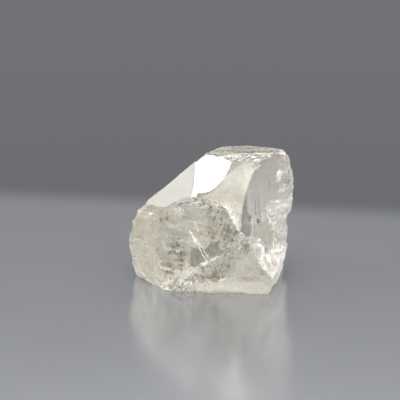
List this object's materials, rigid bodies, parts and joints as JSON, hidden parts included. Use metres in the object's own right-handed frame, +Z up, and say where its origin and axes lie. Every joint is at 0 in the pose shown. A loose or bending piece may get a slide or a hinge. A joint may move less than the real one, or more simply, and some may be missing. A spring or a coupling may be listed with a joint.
{
  "type": "topaz crystal",
  "caption": "Gem-clear pale champagne topaz crystal with a flat cap, a bright sloping face, etched and broken sides, standing on its flat cleaved base",
  "frame": {"origin": "middle of the flat cleaved base, on the resting plane", "axes": "+Z up along the crystal's long axis, -Y the front where the two lengthwise faces meet, +X right along the widest extent"},
  "size_m": [0.0255, 0.0157, 0.0201],
  "materials": {
    "topaz": "clear natural topaz, mirror-bright growth faces with etched and hackly broken sides"
  },
  "bodies": {
    "root": {"topaz_crystal": "topaz"}
  },
  "joints": []
}
